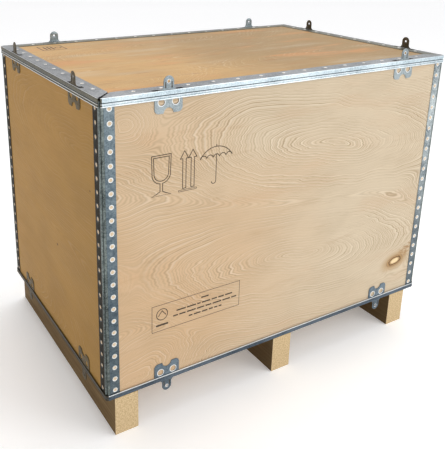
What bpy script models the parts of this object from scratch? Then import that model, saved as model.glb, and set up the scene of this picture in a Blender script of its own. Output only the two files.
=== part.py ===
"""Folding plywood transport crate: a base on three runners, a four-wall belt and a lift-off lid.

Metres, +Z up. The origin is on the ground under the middle of the crate, +X runs along the
long side and the front faces -Y. The base and the lid are plywood panels in steel edge
profiles. The belt stands between them, and steel tongues riveted to its walls pass through
slots in those profiles, where they are bent over to lock the crate.
"""

import math

import bmesh
import bpy
from mathutils import Matrix, Vector

# Whole crate
WIDTH = 1.200
DEPTH = 0.800
LID_TOP = 0.955
GAP = 0.0003

# Sheet stock
STEEL = 0.001
TONGUE_STEEL = 0.0015
PLY = 0.006

# Edge profiles of the lid and the base: an angle with a wide flange and a rim outside the walls
FLANGE_WIDTH = 0.046
LID_RIM = 0.0235
BASE_RIM = 0.016
CORNER_RADIUS = 0.010
CORNER_STEPS = 4
BEND_CHAMFER = 0.0006
RIM_GROOVE_HEIGHT = 0.0125
RIM_GROOVE_HALF = 0.0009
RIM_GROOVE_DEPTH = 0.0004
MITRE_TRIM = 0.0002
SEAM_TURN = 26.0
SEAM_GAP = 0.0025
SLOT_WIDTH = 0.080
SLOT_OUTER = 0.0011
SLOT_INNER = 0.0041

# Depths below the crate's outer planes
TONGUE_OUTER = 0.0014
WALL_OUTER = 0.0032
PANEL_EDGE = 0.0044
WALL_END = 0.014

# Runners under the base
RUNNER_HEIGHT = 0.119
RUNNER_WIDTH = 0.070
RUNNER_LEFT_INSET = 0.025
RUNNER_RIGHT_INSET = 0.050

# Nails through the base panel into the runners
NAIL_LINE = 0.300
NAIL_SHANK_RADIUS = 0.0016
NAIL_HEAD_RADIUS = 0.0036
NAIL_HEAD = 0.0012
NAIL_LENGTH = 0.050
NAIL_POINT = 0.004
NAIL_SIDES = 12

# Corner profiles of the belt: two flanges joined by a pair of folding beads
CORNER_FLANGE_END = 0.041
CORNER_FLANGE_OUTER = 0.0019
BEAD_RADIUS = 0.0035
BEAD_ALONG = 0.0095
BEAD_STEPS = 6

# Tongues, measured from the bend line at the outer face of an edge profile's flange
TONGUE_ON_LONG_SIDE = 0.414
TONGUE_ON_SHORT_SIDE = 0.242
NECK_HALF = 0.0245
NECK_LENGTH = 0.002
PLATE_HALF = 0.0395
PLATE_LENGTH = 0.058
FOOT_RADIUS = 0.012
NOTCH_RADIUS = 0.014
PLATE_HOLE_RADIUS = 0.009
PLATE_HOLE_SIDES = 16
PLATE_HOLE_SPACING = 0.040
PLATE_HOLE_DROP = 0.029
BLADE_HALF = 0.0145
BLADE_LENGTH = 0.0355
BLADE_HOLE_RADIUS = 0.0033
BLADE_HOLE_SIDES = 10
BLADE_HOLE_FROM_TIP = 0.014

# Heights that follow from the stack
BASE_FLANGE_Z = RUNNER_HEIGHT + GAP
BASE_PANEL_Z = BASE_FLANGE_Z + STEEL + GAP
BASE_PANEL_TOP = BASE_PANEL_Z + PLY
LID_PANEL_TOP = LID_TOP - STEEL - GAP
LID_PANEL_Z = LID_PANEL_TOP - PLY
BELT_Z = BASE_PANEL_TOP + GAP
BELT_TOP = LID_PANEL_Z - GAP

# Each side's name, turn about Z, length, distance across the crate, tongue offset,
# and the names of the tongues at its -X and +X ends before the turn
SIDES = (
    ("front", 0.0, WIDTH, DEPTH, TONGUE_ON_LONG_SIDE, ("left", "right")),
    ("right", math.pi / 2, DEPTH, WIDTH, TONGUE_ON_SHORT_SIDE, ("front", "back")),
    ("back", math.pi, WIDTH, DEPTH, TONGUE_ON_LONG_SIDE, ("right", "left")),
    ("left", -math.pi / 2, DEPTH, WIDTH, TONGUE_ON_SHORT_SIDE, ("back", "front")),
)

# Each upright corner's name and the signs of its X and Y
CORNERS = (
    ("front_left", -1, -1),
    ("front_right", 1, -1),
    ("back_right", 1, 1),
    ("back_left", -1, 1),
)


def clear_scene():
    for obj in list(bpy.data.objects):
        bpy.data.objects.remove(obj)


def make_material(name, colour, roughness, metallic):
    material = bpy.data.materials.new(name)
    material.use_nodes = True
    shader = material.node_tree.nodes["Principled BSDF"]
    shader.inputs["Base Color"].default_value = (*colour, 1.0)
    shader.inputs["Roughness"].default_value = roughness
    shader.inputs["Metallic"].default_value = metallic
    return material


def make_group(name):
    """An empty that carries the pieces of one assembly."""
    group = bpy.data.objects.new(name, None)
    bpy.context.scene.collection.objects.link(group)
    return group


def place(name, mesh, material, group, location=(0.0, 0.0, 0.0), rotation=(0.0, 0.0, 0.0)):
    """A named piece. A mesh that several pieces share takes its material once."""
    if not mesh.materials:
        mesh.materials.append(material)
    piece = bpy.data.objects.new(name, mesh)
    piece.parent = group
    piece.location = location
    piece.rotation_euler = rotation
    bpy.context.scene.collection.objects.link(piece)
    return piece


def mesh_from(bm, name):
    bmesh.ops.recalc_face_normals(bm, faces=bm.faces)
    mesh = bpy.data.meshes.new(name)
    bm.to_mesh(mesh)
    bm.free()
    return mesh


def box_mesh(name, low, high):
    bm = bmesh.new()
    bmesh.ops.create_cube(bm, size=1.0)
    bmesh.ops.scale(bm, vec=[b - a for a, b in zip(low, high)], verts=bm.verts)
    bmesh.ops.translate(bm, vec=[(a + b) / 2 for a, b in zip(low, high)], verts=bm.verts)
    return mesh_from(bm, name)


def prism_mesh(name, outline, low, high, along):
    """An outline extruded from low to high along one axis. Its points hold the other two axes in order."""
    bm = bmesh.new()
    axis = "XYZ".index(along)
    verts = []
    for a, b in outline:
        point = [a, b]
        point.insert(axis, low)
        verts.append(bm.verts.new(point))
    travel = Vector((0.0, 0.0, 0.0))
    travel[axis] = high - low
    extruded = bmesh.ops.extrude_face_region(bm, geom=[bm.faces.new(verts)])
    moved = [item for item in extruded["geom"] if isinstance(item, bmesh.types.BMVert)]
    bmesh.ops.translate(bm, vec=travel, verts=moved)
    return mesh_from(bm, name)


def rod_mesh(name, radius, sides, low, high, centre):
    """A straight rod along Z through a centre in X and Y."""
    bm = bmesh.new()
    bmesh.ops.create_cone(
        bm, cap_ends=True, segments=sides, radius1=radius, radius2=radius, depth=high - low
    )
    bmesh.ops.translate(bm, vec=(*centre, (low + high) / 2), verts=bm.verts)
    return mesh_from(bm, name)


def lying_rod_mesh(name, radius, sides, reach, centre):
    """A rod along Y that reaches as far either way, through a centre in X and Z."""
    bm = bmesh.new()
    bmesh.ops.create_cone(
        bm, cap_ends=True, segments=sides, radius1=radius, radius2=radius, depth=2 * reach
    )
    bmesh.ops.rotate(bm, cent=(0, 0, 0), matrix=Matrix.Rotation(math.pi / 2, 3, "X"), verts=bm.verts)
    bmesh.ops.translate(bm, vec=(centre[0], 0.0, centre[1]), verts=bm.verts)
    return mesh_from(bm, name)


def cut_mesh(name, body, cutters):
    """The body mesh with each cutter mesh taken out of it by a Boolean."""
    helpers = []
    for mesh in (body, *cutters):
        helper = bpy.data.objects.new(mesh.name, mesh)
        helper.hide_render = True
        helper.display_type = "WIRE"
        bpy.context.scene.collection.objects.link(helper)
        helpers.append(helper)
    for cutter in helpers[1:]:
        step = helpers[0].modifiers.new(cutter.name, "BOOLEAN")
        step.operation = "DIFFERENCE"
        step.solver = "EXACT"
        step.object = cutter
    graph = bpy.context.evaluated_depsgraph_get()
    result = bpy.data.meshes.new_from_object(helpers[0].evaluated_get(graph))
    result.name = name
    for helper in helpers:
        bpy.data.objects.remove(helper)
    return result


def smooth(mesh, angle=math.radians(35)):
    mesh.shade_smooth()
    mesh.set_sharp_from_angle(angle=angle)
    return mesh


def arc(centre, radius, start, end, steps):
    """Points on an arc, with angles in degrees and both ends included."""
    points = []
    for step in range(steps + 1):
        angle = math.radians(start + (end - start) * step / steps)
        points.append((centre[0] + radius * math.cos(angle), centre[1] + radius * math.sin(angle)))
    return points


def edge_section(rim, grooved):
    """Section of an edge profile as (distance inwards, distance from the flange's outer face)."""
    section = [
        (0.0, BEND_CHAMFER),
        (BEND_CHAMFER, 0.0),
        (FLANGE_WIDTH, 0.0),
        (FLANGE_WIDTH, STEEL),
        (STEEL, STEEL),
        (STEEL, rim),
        (0.0, rim),
    ]
    if grooved:
        section += [
            (0.0, RIM_GROOVE_HEIGHT + RIM_GROOVE_HALF),
            (RIM_GROOVE_DEPTH, RIM_GROOVE_HEIGHT),
            (0.0, RIM_GROOVE_HEIGHT - RIM_GROOVE_HALF),
        ]
    return section


def edge_stations(bm, section, end_x, inward_sign, at_seam):
    """Rings of section points round half a corner, from the straight run to the mitre plane.

    A section point nearer the outside than the corner radius follows the arc. One further in
    stays square and ends on the mitre plane. At the seam both stop short of that plane.
    """
    last_turn = math.radians(SEAM_TURN if at_seam else 45.0)
    mitre_gap = SEAM_GAP if at_seam else 0.0
    rings = []
    for step in range(CORNER_STEPS + 1):
        turn = last_turn * step / CORNER_STEPS
        ring = []
        for inwards, height in section:
            reach = CORNER_RADIUS - inwards
            along = CORNER_RADIUS - reach * math.sin(turn)
            across = CORNER_RADIUS - reach * math.cos(turn)
            if reach <= 0:
                along = inwards + mitre_gap
                across = inwards
            ring.append(bm.verts.new((end_x + inward_sign * along, across, height)))
        rings.append(ring)
    return rings


def edge_mesh(name, section, length, seams, tongue_offset):
    """One side's edge profile along X: its outer face is at Y = 0 and its flange's outer face at Z = 0."""
    bm = bmesh.new()
    end_x = length / 2 - MITRE_TRIM
    rings = edge_stations(bm, section, -end_x, 1, seams[0])[::-1]
    rings += edge_stations(bm, section, end_x, -1, seams[1])
    for first, second in zip(rings, rings[1:]):
        for i in range(len(section)):
            j = (i + 1) % len(section)
            bm.faces.new((first[i], first[j], second[j], second[i]))
    bm.faces.new(rings[0][::-1])
    bm.faces.new(rings[-1])
    bmesh.ops.remove_doubles(bm, verts=bm.verts, dist=1e-6)
    blank = mesh_from(bm, f"{name}_blank")
    slots = []
    for middle in (-tongue_offset, tongue_offset):
        low = (middle - SLOT_WIDTH / 2, SLOT_OUTER, -STEEL)
        high = (middle + SLOT_WIDTH / 2, SLOT_INNER, 2 * STEEL)
        slots.append(box_mesh(f"{name}_slot", low, high))
    return smooth(cut_mesh(name, blank, slots))


def make_edges(group, kind, section, flange_z, turned_over, steel):
    """Four mitred edge profiles. Those of the lid, turned over, leave a seam at the front left."""
    for side, turn, length, span, offset, _ in SIDES:
        seams = (turned_over and side == "front", turned_over and side == "left")
        name = f"{kind}_edge_{side}"
        mesh = edge_mesh(name, section, length, seams, offset)
        if turned_over:
            mesh.transform(Matrix.Scale(-1.0, 4, (0, 0, 1)))
            mesh.flip_normals()
        location = Matrix.Rotation(turn, 3, "Z") @ Vector((0.0, -span / 2, flange_z))
        place(name, mesh, steel, group, location, (0.0, 0.0, turn))


def panel_corners(low_z, high_z):
    """Low and high corners of a plywood panel that lies inside the edge profiles."""
    half_x = WIDTH / 2 - PANEL_EDGE
    half_y = DEPTH / 2 - PANEL_EDGE
    return (-half_x, -half_y, low_z), (half_x, half_y, high_z)


def runner_places():
    """Name and middle X of each runner."""
    return (
        ("left", -WIDTH / 2 + RUNNER_LEFT_INSET + RUNNER_WIDTH / 2),
        ("middle", 0.0),
        ("right", WIDTH / 2 - RUNNER_RIGHT_INSET - RUNNER_WIDTH / 2),
    )


def runner_mesh(hole_end):
    """A runner from the front to the back of the crate, with two nail holes that end at a height."""
    half = RUNNER_WIDTH / 2
    blank = box_mesh("runner_blank", (-half, -DEPTH / 2, 0.0), (half, DEPTH / 2, RUNNER_HEIGHT))
    drills = []
    for y in (-NAIL_LINE, NAIL_LINE):
        drill = rod_mesh(
            "runner_drill", NAIL_SHANK_RADIUS + GAP, NAIL_SIDES, hole_end, BASE_PANEL_TOP, (0.0, y)
        )
        drills.append(drill)
    return cut_mesh("runner", blank, drills)


def nail_mesh():
    """A flat-headed nail with its head standing on Z = 0 and its point down."""
    profile = [
        (0.0, NAIL_HEAD),
        (NAIL_HEAD_RADIUS, NAIL_HEAD),
        (NAIL_HEAD_RADIUS, 0.0),
        (NAIL_SHANK_RADIUS, 0.0),
        (NAIL_SHANK_RADIUS, NAIL_POINT - NAIL_LENGTH),
        (0.0, -NAIL_LENGTH),
    ]
    bm = bmesh.new()
    verts = [bm.verts.new((radius, 0.0, z)) for radius, z in profile]
    edges = [bm.edges.new(pair) for pair in zip(verts, verts[1:])]
    bmesh.ops.spin(
        bm,
        geom=verts + edges,
        cent=(0, 0, 0),
        axis=(0, 0, 1),
        angle=2 * math.pi,
        steps=NAIL_SIDES,
        use_merge=True,
    )
    bmesh.ops.remove_doubles(bm, verts=bm.verts, dist=1e-6)
    return smooth(mesh_from(bm, "nail"))


def make_base(group, wood, pine, steel, bright):
    make_edges(group, "base", edge_section(BASE_RIM, False), BASE_FLANGE_Z, False, steel)
    head_z = BASE_PANEL_TOP + GAP
    blank = box_mesh("base_panel_blank", *panel_corners(BASE_PANEL_Z, BASE_PANEL_TOP))
    runner = runner_mesh(head_z - NAIL_LENGTH - GAP)
    nail = nail_mesh()
    nail_hole = NAIL_SHANK_RADIUS + GAP
    through = BASE_PANEL_TOP + PLY
    drills = []
    for name, x in runner_places():
        place(f"runner_{name}", runner, pine, group, (x, 0.0, 0.0))
        for end, y in (("front", -NAIL_LINE), ("back", NAIL_LINE)):
            place(f"runner_nail_{name}_{end}", nail, bright, group, (x, y, head_z))
            drills.append(
                rod_mesh("panel_drill", nail_hole, NAIL_SIDES, RUNNER_HEIGHT, through, (x, y))
            )
    place("base_panel", cut_mesh("base_panel", blank, drills), wood, group)


def make_lid(group, wood, steel):
    make_edges(group, "lid", edge_section(LID_RIM, True), LID_TOP, True, steel)
    place("lid_panel", box_mesh("lid_panel", *panel_corners(LID_PANEL_Z, LID_PANEL_TOP)), wood, group)


def make_walls(group, wood):
    """Four plywood walls that stand on the base panel and carry the lid panel."""
    for side, turn, length, span, _, _ in SIDES:
        half = length / 2 - WALL_END
        outer = -span / 2 + WALL_OUTER
        low = (-half, outer, BELT_Z)
        high = (half, outer + PLY, BELT_TOP)
        mesh = box_mesh(f"wall_{side}", low, high)
        place(f"wall_{side}", mesh, wood, group, rotation=(0.0, 0.0, turn))


def corner_half(depth, radius, fold_angle):
    """One face of a corner profile, from a flange's end round its bead, as distances inwards."""
    centre = (BEAD_ALONG, TONGUE_OUTER + BEAD_RADIUS)
    start = 270.0 + math.degrees(math.acos((centre[1] - depth) / radius))
    return [(CORNER_FLANGE_END, depth)] + arc(centre, radius, start, fold_angle, BEAD_STEPS)


def corner_outline():
    """Plan of a corner profile, which is the same either side of the corner's diagonal.

    The outer faces of the two beads cross on the diagonal, where the belt folds.
    """
    to_diagonal = (BEAD_ALONG - TONGUE_OUTER - BEAD_RADIUS) / math.sqrt(2)
    fold_angle = 135.0 + math.degrees(math.acos(to_diagonal / BEAD_RADIUS))
    outer = corner_half(CORNER_FLANGE_OUTER, BEAD_RADIUS, fold_angle)
    inner_radius = BEAD_RADIUS - STEEL
    inner = corner_half(CORNER_FLANGE_OUTER + STEEL, inner_radius, 180.0)
    inner.append((BEAD_ALONG - inner_radius, BEAD_ALONG - inner_radius))
    outline = outer + [(b, a) for a, b in outer[-2::-1]]
    outline += [(b, a) for a, b in inner] + inner[-2::-1]
    return outline


def make_corners(group, steel):
    """Four upright profiles that join the walls and let the belt fold flat at its corners."""
    for name, side_x, side_y in CORNERS:
        plan = [(side_x * (WIDTH / 2 - u), side_y * (DEPTH / 2 - v)) for u, v in corner_outline()]
        mesh = prism_mesh(f"corner_profile_{name}", plan, BELT_Z, BELT_TOP, "Z")
        place(f"corner_profile_{name}", smooth(mesh), steel, group)


def both_halves(half):
    """A closed outline that is the same either side of X = 0, from its points at X >= 0 in order."""
    return half + [(-x, z) for x, z in half[::-1] if x > GAP]


def tongue_prism(name, outline):
    """A tongue's sheet. Its bend line is Y = 0, Z = 0, and the sheet lies outside the wall's face."""
    outer = TONGUE_OUTER - WALL_OUTER
    return prism_mesh(name, outline, outer, outer + TONGUE_STEEL, "Y")


def plate_mesh():
    """The fixed half of a tongue: neck, shoulders, and two feet either side of a round notch."""
    shoulder = PLATE_HALF - NECK_HALF
    foot_centre = (PLATE_HALF - FOOT_RADIUS, FOOT_RADIUS - PLATE_LENGTH)
    half = [(NECK_HALF, 0.0)]
    half += arc((PLATE_HALF, -NECK_LENGTH), shoulder, 180.0, 270.0, 4)
    half += arc(foot_centre, FOOT_RADIUS, 0.0, -90.0, 5)
    half += arc((0.0, -PLATE_LENGTH), NOTCH_RADIUS, 0.0, 90.0, 5)
    blank = tongue_prism("plate_blank", both_halves(half))
    drills = []
    for x in (-PLATE_HOLE_SPACING / 2, PLATE_HOLE_SPACING / 2):
        centre = (x, -PLATE_HOLE_DROP)
        drill = lying_rod_mesh("plate_drill", PLATE_HOLE_RADIUS, PLATE_HOLE_SIDES, WALL_END, centre)
        drills.append(drill)
    return smooth(cut_mesh("tongue_plate", blank, drills))


def blade_mesh():
    """The bending half of a tongue: a flared root, a parallel blade and a round tip with a nail hole."""
    flare = NECK_HALF - BLADE_HALF
    half = arc((NECK_HALF, GAP + flare), flare, 270.0, 180.0, 4)
    half += arc((0.0, BLADE_LENGTH - BLADE_HALF), BLADE_HALF, 0.0, 90.0, 6)
    blank = tongue_prism("blade_blank", both_halves(half))
    centre = (0.0, BLADE_LENGTH - BLADE_HOLE_FROM_TIP)
    drill = lying_rod_mesh("blade_drill", BLADE_HOLE_RADIUS, BLADE_HOLE_SIDES, WALL_END, centre)
    return smooth(cut_mesh("tongue_blade", blank, [drill]))


def make_tongues(group, steel):
    """A fixed plate and a bending blade at each slot. The lower ones are the upper ones turned over."""
    plate = plate_mesh()
    blade = blade_mesh()
    for side, turn, _, span, offset, ends in SIDES:
        for end, along in zip(ends, (-offset, offset)):
            for row, bend_z, roll in (("upper", LID_TOP, 0.0), ("lower", BASE_FLANGE_Z, math.pi)):
                spot = Matrix.Rotation(turn, 3, "Z") @ Vector((along, WALL_OUTER - span / 2, bend_z))
                rotation = (0.0, roll, turn)
                place(f"{row}_plate_{side}_{end}", plate, steel, group, spot, rotation)
                place(f"{row}_tongue_{side}_{end}", blade, steel, group, spot, rotation)


def main():
    clear_scene()
    wood = make_material("birch_plywood", (0.68, 0.48, 0.28), 0.6, 0.0)
    pine = make_material("sawn_pine", (0.76, 0.58, 0.34), 0.75, 0.0)
    steel = make_material("galvanised_steel", (0.55, 0.60, 0.64), 0.38, 1.0)
    bright = make_material("bright_nail", (0.60, 0.60, 0.60), 0.35, 1.0)
    base = make_group("base")
    belt = make_group("belt")
    lid = make_group("lid")
    make_base(base, wood, pine, steel, bright)
    make_walls(belt, wood)
    make_corners(belt, steel)
    make_tongues(belt, steel)
    make_lid(lid, wood, steel)


main()
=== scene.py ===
import math
import random

import bmesh
import bpy
from mathutils import Matrix, Quaternion, Vector


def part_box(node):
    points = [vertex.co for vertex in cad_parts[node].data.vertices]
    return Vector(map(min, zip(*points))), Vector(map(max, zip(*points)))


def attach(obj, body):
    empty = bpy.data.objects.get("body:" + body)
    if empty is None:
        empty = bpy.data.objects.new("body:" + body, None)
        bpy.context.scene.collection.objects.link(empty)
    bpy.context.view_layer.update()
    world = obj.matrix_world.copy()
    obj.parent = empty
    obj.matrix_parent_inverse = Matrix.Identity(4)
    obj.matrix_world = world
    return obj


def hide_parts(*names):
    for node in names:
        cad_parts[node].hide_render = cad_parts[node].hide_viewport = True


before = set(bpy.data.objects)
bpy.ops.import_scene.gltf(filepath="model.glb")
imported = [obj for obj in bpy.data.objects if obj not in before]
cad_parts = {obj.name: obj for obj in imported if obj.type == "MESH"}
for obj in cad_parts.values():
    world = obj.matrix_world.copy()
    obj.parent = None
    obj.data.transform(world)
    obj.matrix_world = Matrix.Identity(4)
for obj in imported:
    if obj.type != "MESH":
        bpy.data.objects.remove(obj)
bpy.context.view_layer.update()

# Places that the frame gives
HALF_X = -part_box("lid_edge_left")[0].x
HALF_Y = -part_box("lid_edge_front")[0].y
LID_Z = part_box("lid_edge_front")[1].z
LID_RIM = LID_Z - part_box("lid_edge_front")[0].z
BASE_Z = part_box("base_edge_front")[0].z
BASE_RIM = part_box("base_edge_front")[1].z - BASE_Z
BELT_Z, BELT_TOP = (corner.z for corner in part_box("wall_front"))
WALL_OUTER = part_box("wall_front")[0].y + HALF_Y
TONGUE_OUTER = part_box("upper_tongue_front_left")[0].y + HALF_Y
TONGUE_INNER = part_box("upper_tongue_front_left")[1].y + HALF_Y

# Edge frames, in metres: sheet, corners, the flange's plain band and width, the slots and their ends,
# half the lid's open seam, and the flange's row of holes
SHEET = 0.0008
CORNER_RADIUS = 0.01
BAND = 0.014
FLANGE_WIDTH = 0.046
SLOT_LOW, SLOT_HIGH = 0.0011, 0.0066
SLOT_HALF = 0.042
SLOT_NOTCH = 0.017
SEAM_GAP = 0.0042
MITRE_GAP = 0.0003
FLANGE_PITCH = (0.0765, 0.068)
FLANGE_LINE = 0.027
HOLE_SCALE = 0.72
BURR, BASE_BURR = 0.0003, 0.0001

# Corner profiles: the flange's outer face, its two edges and its row of holes, and the folding bead
FLANGE_OUTER = 0.0019
CORNER_FLANGE = (0.0125, 0.041)
CORNER_LINE = 0.0275
CORNER_PITCH = 0.0355
BEAD_RADIUS = 0.0035
BEAD_INSET = 0.0095
BEAD_OVERLAP = 0.013

# Rings of a clinched hole's lip and the torn wood in it: growth over its radius, share of the burr's
# height, and lift. Then the finish of the faces outside each ring: 0 the strip's own, 1 bright burr,
# partly a painted highlight, 2 torn wood.
HOLE_RADIUS = 0.0062
HOLE_SIDES = 16
HOLE_LIP = (
    (0.0018, 0.0, 0.0), (0.0009, 1.0, 0.0), (0.0, 1.0, 0.0), (-0.0013, 0.0, -0.0002), (-0.0032, 0.0, -0.0001),
)
LIP_FINISH = (0, 0, 1, 1, 2)

# Tongues, measured from the bend: the neck, the plate's feet and holes below it, the blade above it
NECK_HALF = 0.0245
PLATE_LENGTH = 0.058
PLATE_HOLES = ((-0.02, -0.029), (0.02, -0.029))
PLATE_HOLE_RADIUS = 0.0092
BLADE_HALF = 0.0145
BLADE_LENGTH = 0.0355
NAIL_HOLE = (0.0, 0.0215)
NAIL_HOLE_RADIUS = 0.0042
GROOVES = ((-0.0088, 0.0125), (0.0088, 0.0125))

# Marks lie this far outside the wood
INK_LIFT = 0.00012

# Each side's name, its direction along the crate's outside, its outward direction, half its length,
# and how far its outer plane is from the middle
SIDES = (
    ("front", Vector((1, 0)), Vector((0, -1)), HALF_X, HALF_Y),
    ("right", Vector((0, 1)), Vector((1, 0)), HALF_Y, HALF_X),
    ("back", Vector((-1, 0)), Vector((0, 1)), HALF_X, HALF_Y),
    ("left", Vector((0, -1)), Vector((-1, 0)), HALF_Y, HALF_X),
)
CHANCE = random.Random(11)


# ---- materials


class Looks:
    """Nodes of a material or a world. A socket is fed a number, a tuple or another node's output."""

    def __init__(self, name, kind="materials"):
        self.owner = getattr(bpy.data, kind).new(name)
        self.owner.use_nodes = True
        self.tree = self.owner.node_tree
        self.places = self.add("TexCoord").outputs
        self.place = self.places["Object"]

    def feed(self, socket, value):
        if isinstance(value, bpy.types.NodeSocket):
            self.tree.links.new(value, socket)
        else:
            socket.default_value = value

    def add(self, kind, *values, **settings):
        node = self.tree.nodes.new("ShaderNode" + kind)
        for key, value in settings.items():
            setattr(node, key, value)
        for socket, value in zip(node.inputs, values):
            self.feed(socket, value)
        return node

    def math(self, operation, *values):
        return self.add("Math", *values, operation=operation).outputs[0]

    def times(self, first, second):
        return self.math("MULTIPLY", first, second)

    def times_plus(self, value, factor, rest):
        return self.math("MULTIPLY_ADD", value, factor, rest)

    def plus(self, first, second):
        return self.math("ADD", first, second)

    def minus(self, first, second):
        return self.math("SUBTRACT", first, second)

    def wave(self, value):
        return self.math("SINE", value)

    def stretch(self, vector, scale):
        return self.add("VectorMath", vector, scale, operation="MULTIPLY").outputs[0]

    def noise(self, place, scale, detail=2.0, roughness=0.5, dimensions="3D"):
        node = self.add("TexNoise", noise_dimensions=dimensions)
        self.feed(node.inputs["W" if dimensions == "1D" else "Vector"], place)
        node.inputs["Scale"].default_value = scale
        node.inputs["Detail"].default_value = detail
        node.inputs["Roughness"].default_value = roughness
        return node.outputs[0]

    def long_noise(self, place, scales, *detail):
        """Noise with its own scale along each axis."""
        return self.noise(self.stretch(place, scales), 1.0, *detail)

    def spread(self, value, low, high, to_low=0.0, to_high=1.0):
        """A smooth step from to_low at low to to_high at high."""
        node = self.add("MapRange", value, low, high, to_low, to_high)
        node.interpolation_type = "SMOOTHSTEP"
        return node.outputs[0]

    def mix(self, share, first, second, blend="MIX"):
        node = self.add("Mix", data_type="RGBA", blend_type=blend)
        self.feed(node.inputs[0], share)
        for socket, colour in ((node.inputs[6], first), (node.inputs[7], second)):
            self.feed(socket, (*colour, 1.0) if isinstance(colour, tuple) else colour)
        return node.outputs[2]

    def bump(self, height, distance, strength=1.0, under=None):
        node = self.add("Bump")
        self.feed(node.inputs["Height"], height)
        node.inputs["Distance"].default_value = distance
        node.inputs["Strength"].default_value = strength
        if under is not None:
            self.feed(node.inputs["Normal"], under)
        return node.outputs[0]

    def finish(self, colour, roughness, normal, **constants):
        sockets = self.tree.nodes["Principled BSDF"].inputs
        constants |= {"Base_Color": colour, "Roughness": roughness, "Normal": normal}
        for name, value in constants.items():
            self.feed(sockets[name.replace("_", " ")], value)
        return self.owner


def scaled(colour, share):
    return tuple(share * part for part in colour)


def steel(name, dark, light, rough=0.34, metal=0.85, gloss=0.5, low_shade=0.0):
    """Galvanised strip: soft spangle, dull oxide patches, fine scuffs, a little bloom and painted shade in
    its creases.

    Rough, metal and gloss are its roughness, how metallic it is and its specular level. The last argument
    is how strongly a painted shade darkens it towards the ground.
    """
    looks = Looks(name)
    cells = looks.add("TexVoronoi")
    looks.feed(cells.inputs["Vector"], looks.place)
    cells.inputs["Scale"].default_value = 130.0
    spangle = looks.add("SeparateColor", cells.outputs["Color"]).outputs[0]
    cloud = looks.noise(looks.place, 9.0, 4.0, 0.6)
    patches = looks.spread(cloud, 0.35, 0.68)
    scuffs = looks.long_noise(looks.place, (60.0, 60.0, 700.0), 3.0, 0.6)
    grit = looks.noise(looks.place, 900.0, 2.0)
    tone = looks.times_plus(spangle, 0.28, looks.times(patches, 0.6))
    tone = looks.times_plus(scuffs, 0.25, tone)
    mottle = looks.spread(looks.noise(looks.place, 240.0, 3.0, 0.7), 0.35, 0.65, -0.22, 0.26)
    tone = looks.plus(tone, mottle)
    colour = looks.mix(tone, dark, light)
    bloom = looks.spread(grit, 0.6, 0.8, 0.0, 0.25)
    colour = looks.mix(bloom, colour, tuple(1.0 - (1.0 - c) ** 2 for c in light))
    # Painted shade: ambient occlusion darkens creases, grooves, slots, holes and seams.
    shelter = looks.add("AmbientOcclusion", samples=6)
    shelter.inputs["Distance"].default_value = 0.006
    crevice_shade = looks.spread(shelter.outputs["AO"], 0.35, 0.85, 0.85, 0.0)
    colour = looks.mix(crevice_shade, colour, scaled(dark, 0.1))
    # Painted shade that darkens the steel towards the ground, where it reflects less light.
    if low_shade:
        height = looks.add("SeparateXYZ", looks.place).outputs[2]
        colour = looks.mix(looks.spread(height, 0.25, 0.85, low_shade, 0.0), colour, scaled(dark, 0.7))
    roughness = looks.times_plus(spangle, 0.1, rough)
    roughness = looks.times_plus(patches, 0.12, roughness)
    normal = looks.bump(looks.plus(spangle, grit), 0.00004, 0.5)
    normal = looks.bump(cloud, 0.0008, 0.4, normal)
    return looks.finish(colour, roughness, normal, Metallic=metal, Specular_IOR_Level=gloss)


def flattened(looks, axes):
    """Separate outputs along a panel, across it and through it, and the vector of all three."""
    parts = looks.add("SeparateXYZ", looks.place).outputs
    along, across, through = (parts[axis] for axis in axes)
    return along, across, through, looks.add("CombineXYZ", along, across, through).outputs[0]


def eye_distance(looks, along, across, centre, core, stretch, tilt, margin):
    """Distance from an eye of the figure: near it the rings are long and flat, and then rounder.

    Core is how far the flat rings reach, and margin how far the eye stays back from its neighbours.
    """
    a = looks.minus(along, centre[0])
    b = looks.times_plus(a, -tilt, looks.minus(across, centre[1]))
    core_length = looks.times_plus(looks.math("ABSOLUTE", a), stretch, core * stretch)
    a = looks.math("DIVIDE", looks.times(a, a), core_length)
    reach = looks.math("SQRT", looks.times_plus(b, b, looks.times(a, a)))
    return looks.plus(reach, margin)


# What shows in a veneer besides its own tones and dark grain, and the painted shadow under the flanges
REDDENED = (0.6, 0.27, 0.1)
GREYED = (0.52, 0.44, 0.33)
BROWN_DASH = (0.34, 0.165, 0.055)
BRIGHT_GRAIN = (1.0, 0.93, 0.78)
BARK = ((0.42, 0.25, 0.1), (0.13, 0.065, 0.025))
TORN_GRAIN = (0.34, 0.185, 0.065)
KNOT_HALO = (0.42, 0.245, 0.09)
KNOT_HEART = (0.86, 0.66, 0.38)
PIN_KNOT = (0.12, 0.065, 0.03)
PLY_EDGE = ((0.46, 0.27, 0.12), (0.72, 0.52, 0.3))
PAINTED_FLANGE_SHADOW = (0.022, 0.018, 0.014)

# Radians per metre from an eye, for its wide and its fine rings
WIDE_RINGS, FINE_RINGS = 760.0, 2050.0


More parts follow.
